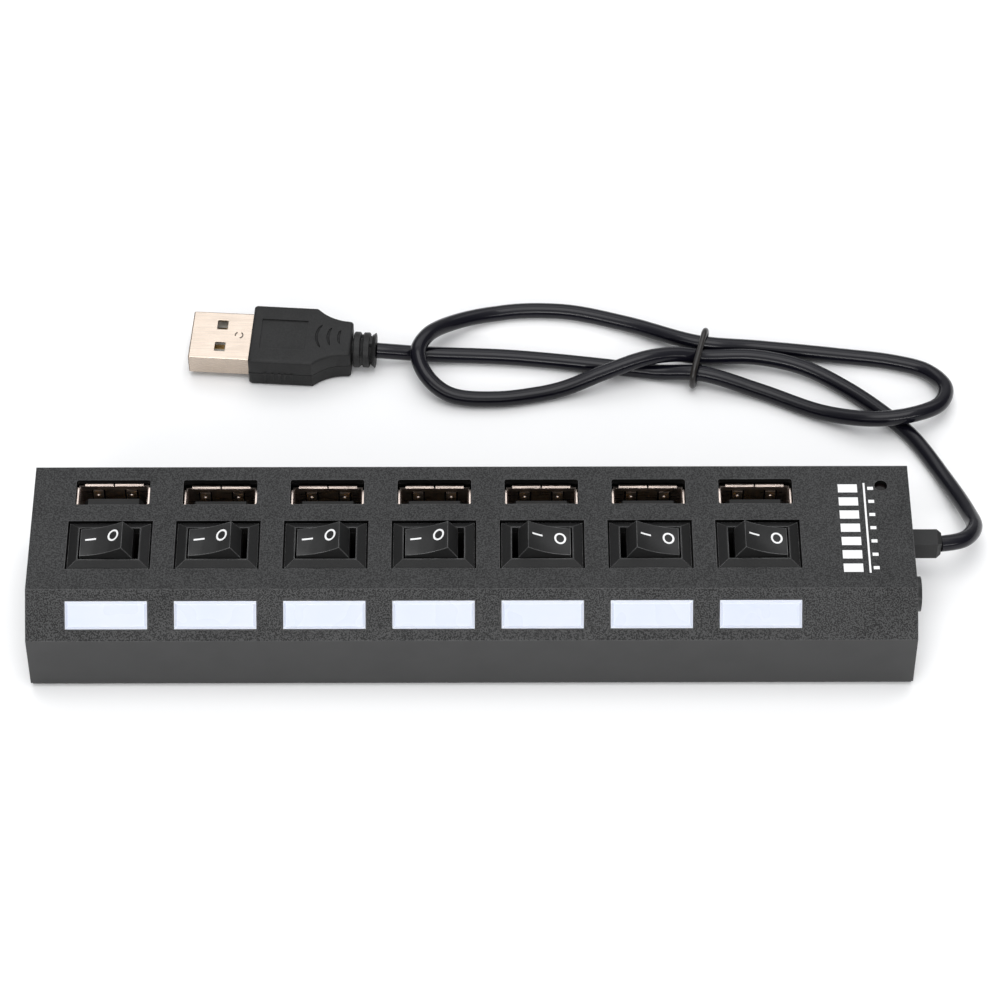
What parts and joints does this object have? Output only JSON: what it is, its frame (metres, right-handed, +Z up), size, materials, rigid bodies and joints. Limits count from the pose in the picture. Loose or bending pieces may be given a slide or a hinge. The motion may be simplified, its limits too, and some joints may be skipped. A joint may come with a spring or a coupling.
{
  "type": "usb hub",
  "caption": "Long bar-shaped powered hub with a row of upright sockets, a rocker switch and lit window for each, and a short tied cord with a type A plug.",
  "frame": {"origin": "under the middle of the bar, on the surface that its feet stand on", "axes": "+X along the bar towards the cord's end, +Y towards the back where the sockets are, +Z up"},
  "size_m": [0.1792, 0.0927, 0.0241],
  "materials": {
    "case": "fine grained moulding, satin",
    "base": "plain moulding",
    "board": "green solder mask",
    "tongue": "plain",
    "gold": "thin gold plating",
    "terminal": "plain",
    "led_lens": "clear moulded lens",
    "power_lens": "dark tinted lens",
    "chip": "plain",
    "can": "drawn metal can",
    "capacitor": "shrink sleeve",
    "jack": "plain",
    "nickel": "bright nickel plating",
    "rubber": "satin",
    "lead": "coloured insulation",
    "cord": "satin jacket",
    "tie": "plastic covered wire",
    "grip": "satin moulding",
    "pale_plastic": "plain",
    "screw_steel": "plated",
    "switch_black": "satin moulding",
    "brass": "spring metal",
    "window": "milky moulded lens",
    "print": "pad printed"
  },
  "bodies": {
    "housing": {"top_housing": "case", "base_cover": "base", "circuit_board": "board", "switch_body_1": "switch_black", "switch_body_2": "switch_black", "switch_body_3": "switch_black", "switch_body_4": "switch_black", "switch_body_5": "switch_black", "switch_body_6": "switch_black", "switch_body_7": "switch_black", "port_shell_1": "nickel", "port_shell_2": "nickel", "port_shell_3": "nickel", "port_shell_4": "nickel", "port_shell_5": "nickel", "port_shell_6": "nickel", "port_shell_7": "nickel", "light_window_1": "window", "light_window_2": "window", "light_window_3": "window", "light_window_4": "window", "light_window_5": "window", "light_window_6": "window", "light_window_7": "window", "port_tongues": "tongue", "port_contacts": "gold", "switch_terminals": "terminal", "port_leds": "led_lens", "power_led": "power_lens", "controller_chips": "chip", "crystals": "can", "capacitors": "capacitor", "resistors": "chip", "dc_jack": "jack", "dc_jack_pin": "nickel", "strain_relief": "rubber", "cable_wires": "lead", "cord": "cord", "twist_tie": "tie", "plug_overmould": "grip", "plug_shell": "nickel", "plug_tongue": "pale_plastic", "plug_contacts": "gold", "case_screws": "screw_steel", "rubber_feet": "rubber", "printed_legend": "print"},
    "switch_rocker_1": {"rocker_1": "switch_black"},
    "switch_blade_1": {"contact_blade_1": "brass"},
    "switch_rocker_2": {"rocker_2": "switch_black"},
    "switch_blade_2": {"contact_blade_2": "brass"},
    "switch_rocker_3": {"rocker_3": "switch_black"},
    "switch_blade_3": {"contact_blade_3": "brass"},
    "switch_rocker_4": {"rocker_4": "switch_black"},
    "switch_blade_4": {"contact_blade_4": "brass"},
    "switch_rocker_5": {"rocker_5": "switch_black"},
    "switch_blade_5": {"contact_blade_5": "brass"},
    "switch_rocker_6": {"rocker_6": "switch_black"},
    "switch_blade_6": {"contact_blade_6": "brass"},
    "switch_rocker_7": {"rocker_7": "switch_black"},
    "switch_blade_7": {"contact_blade_7": "brass"}
  },
  "joints": [
    {"name": "rocker_1_tilt", "type": "hinge", "parent": "housing", "child": "switch_rocker_1", "pos_m": [-0.067, -0.0006, 0.0186], "axis": [0, 1, 0], "range_deg": [0, 34]},
    {"name": "blade_1_tilt", "type": "hinge", "parent": "housing", "child": "switch_blade_1", "pos_m": [-0.067, -0.0006, 0.011], "axis": [0, 1, 0], "range_deg": [-20, 0]},
    {"name": "rocker_2_tilt", "type": "hinge", "parent": "housing", "child": "switch_rocker_2", "pos_m": [-0.047, -0.0006, 0.0186], "axis": [0, 1, 0], "range_deg": [0, 34]},
    {"name": "blade_2_tilt", "type": "hinge", "parent": "housing", "child": "switch_blade_2", "pos_m": [-0.047, -0.0006, 0.011], "axis": [0, 1, 0], "range_deg": [-20, 0]},
    {"name": "rocker_3_tilt", "type": "hinge", "parent": "housing", "child": "switch_rocker_3", "pos_m": [-0.027, -0.0006, 0.0186], "axis": [0, 1, 0], "range_deg": [0, 34]},
    {"name": "blade_3_tilt", "type": "hinge", "parent": "housing", "child": "switch_blade_3", "pos_m": [-0.027, -0.0006, 0.011], "axis": [0, 1, 0], "range_deg": [-20, 0]},
    {"name": "rocker_4_tilt", "type": "hinge", "parent": "housing", "child": "switch_rocker_4", "pos_m": [-0.007, -0.0006, 0.0186], "axis": [0, 1, 0], "range_deg": [0, 34]},
    {"name": "blade_4_tilt", "type": "hinge", "parent": "housing", "child": "switch_blade_4", "pos_m": [-0.007, -0.0006, 0.011], "axis": [0, 1, 0], "range_deg": [-20, 0]},
    {"name": "rocker_5_tilt", "type": "hinge", "parent": "housing", "child": "switch_rocker_5", "pos_m": [0.013, -0.0006, 0.0186], "axis": [0, 1, 0], "range_deg": [-34, 0]},
    {"name": "blade_5_tilt", "type": "hinge", "parent": "housing", "child": "switch_blade_5", "pos_m": [0.013, -0.0006, 0.011], "axis": [0, 1, 0], "range_deg": [0, 20]},
    {"name": "rocker_6_tilt", "type": "hinge", "parent": "housing", "child": "switch_rocker_6", "pos_m": [0.033, -0.0006, 0.0186], "axis": [0, 1, 0], "range_deg": [-34, 0]},
    {"name": "blade_6_tilt", "type": "hinge", "parent": "housing", "child": "switch_blade_6", "pos_m": [0.033, -0.0006, 0.011], "axis": [0, 1, 0], "range_deg": [0, 20]},
    {"name": "rocker_7_tilt", "type": "hinge", "parent": "housing", "child": "switch_rocker_7", "pos_m": [0.053, -0.0006, 0.0186], "axis": [0, 1, 0], "range_deg": [-34, 0]},
    {"name": "blade_7_tilt", "type": "hinge", "parent": "housing", "child": "switch_blade_7", "pos_m": [0.053, -0.0006, 0.011], "axis": [0, 1, 0], "range_deg": [0, 20]}
  ],
  "couplings": [
    {"joint": "blade_1_tilt", "follows": "rocker_1_tilt", "ratio": -0.58823},
    {"joint": "blade_2_tilt", "follows": "rocker_2_tilt", "ratio": -0.58823},
    {"joint": "blade_3_tilt", "follows": "rocker_3_tilt", "ratio": -0.58823},
    {"joint": "blade_4_tilt", "follows": "rocker_4_tilt", "ratio": -0.58823},
    {"joint": "blade_5_tilt", "follows": "rocker_5_tilt", "ratio": -0.58823},
    {"joint": "blade_6_tilt", "follows": "rocker_6_tilt", "ratio": -0.58823},
    {"joint": "blade_7_tilt", "follows": "rocker_7_tilt", "ratio": -0.58823}
  ]
}
